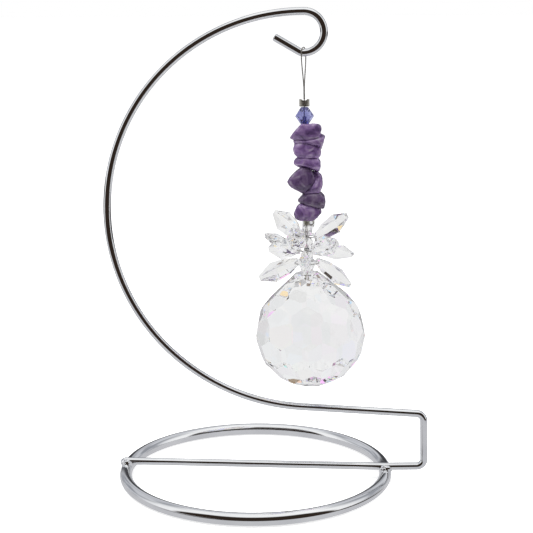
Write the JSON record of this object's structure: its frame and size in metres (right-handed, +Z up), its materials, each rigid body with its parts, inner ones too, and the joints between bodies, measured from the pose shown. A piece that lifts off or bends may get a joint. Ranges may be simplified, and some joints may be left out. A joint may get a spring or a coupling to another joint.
{
  "type": "crystal suncatcher on stand",
  "caption": "Hanging suncatcher: amethyst chips, tiers of cut crystal petals and a faceted crystal ball on a cable, hung from a bent-wire stand with a round ring base.",
  "frame": {"origin": "on the table, under the middle of the whole stand's bounding box", "axes": "+Z up; +X along the wire bar, from the open side of the C towards the post; -Y towards the front, the side on which the wire lies a little forward of the base ring's middle"},
  "size_m": [0.1216, 0.104, 0.1769],
  "materials": {
    "chrome": "bright chrome plating on steel wire and rod",
    "cable_steel": "fine twisted beading cable",
    "tier_steel": "thin bright wire",
    "pewter": "dull silver crimp metal",
    "tanzanite_glass": "clear violet-blue cut glass",
    "amethyst": "polished tumbled amethyst",
    "clear_crystal": "clear cut and polished crystal"
  },
  "bodies": {
    "root": {"base_ring": "chrome", "stand_wire": "chrome", "hanging_cable": "cable_steel", "top_crimp": "pewter", "bicone_bead": "tanzanite_glass", "amethyst_chip_1": "amethyst", "amethyst_chip_2": "amethyst", "amethyst_chip_3": "amethyst", "amethyst_chip_4": "amethyst", "amethyst_chip_5": "amethyst", "amethyst_chip_6": "amethyst", "amethyst_chip_7": "amethyst", "amethyst_chip_8": "amethyst", "lower_crimp": "pewter", "clear_bead_1": "clear_crystal", "clear_bead_2": "clear_crystal", "clear_bead_3": "clear_crystal", "clear_bead_4": "clear_crystal", "top_ring": "tier_steel", "middle_ring": "tier_steel", "bottom_ring": "tier_steel", "top_petal_1": "clear_crystal", "top_petal_2": "clear_crystal", "top_petal_3": "clear_crystal", "top_petal_4": "clear_crystal", "middle_petal_1": "clear_crystal", "middle_petal_2": "clear_crystal", "middle_petal_3": "clear_crystal", "middle_petal_4": "clear_crystal", "bottom_petal_1": "clear_crystal", "bottom_petal_2": "clear_crystal", "bottom_petal_3": "clear_crystal", "bottom_petal_4": "clear_crystal", "crystal_ball": "clear_crystal"}
  },
  "joints": []
}
